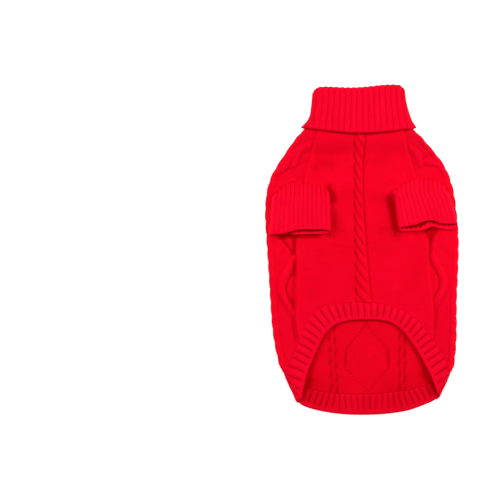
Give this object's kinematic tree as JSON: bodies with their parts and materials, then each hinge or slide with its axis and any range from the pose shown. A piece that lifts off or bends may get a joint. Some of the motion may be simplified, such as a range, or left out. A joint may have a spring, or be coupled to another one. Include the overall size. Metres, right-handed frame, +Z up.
{
  "type": "dog sweater",
  "caption": "Knitted dog sweater with a turned-down ribbed collar, short ribbed sleeves, cable and diamond knit and a ribbed hem arched over the belly, lying flat on its back.",
  "frame": {"origin": "on the surface that the sweater lies on, under the middle of its outline", "axes": "+Y from the hem to the collar, +Z up out of the belly side, +X to the right seen from above"},
  "size_m": [0.2075, 0.3529, 0.0143],
  "materials": {
    "cable_knit": "soft matt red knit, stockinette with cables",
    "rib_knit": "soft matt red rib knit"
  },
  "bodies": {
    "root": {"back_panel": "cable_knit", "belly_panel": "cable_knit", "hem_band": "rib_knit", "sleeve_left": "rib_knit", "sleeve_right": "rib_knit", "collar": "rib_knit"}
  },
  "joints": []
}
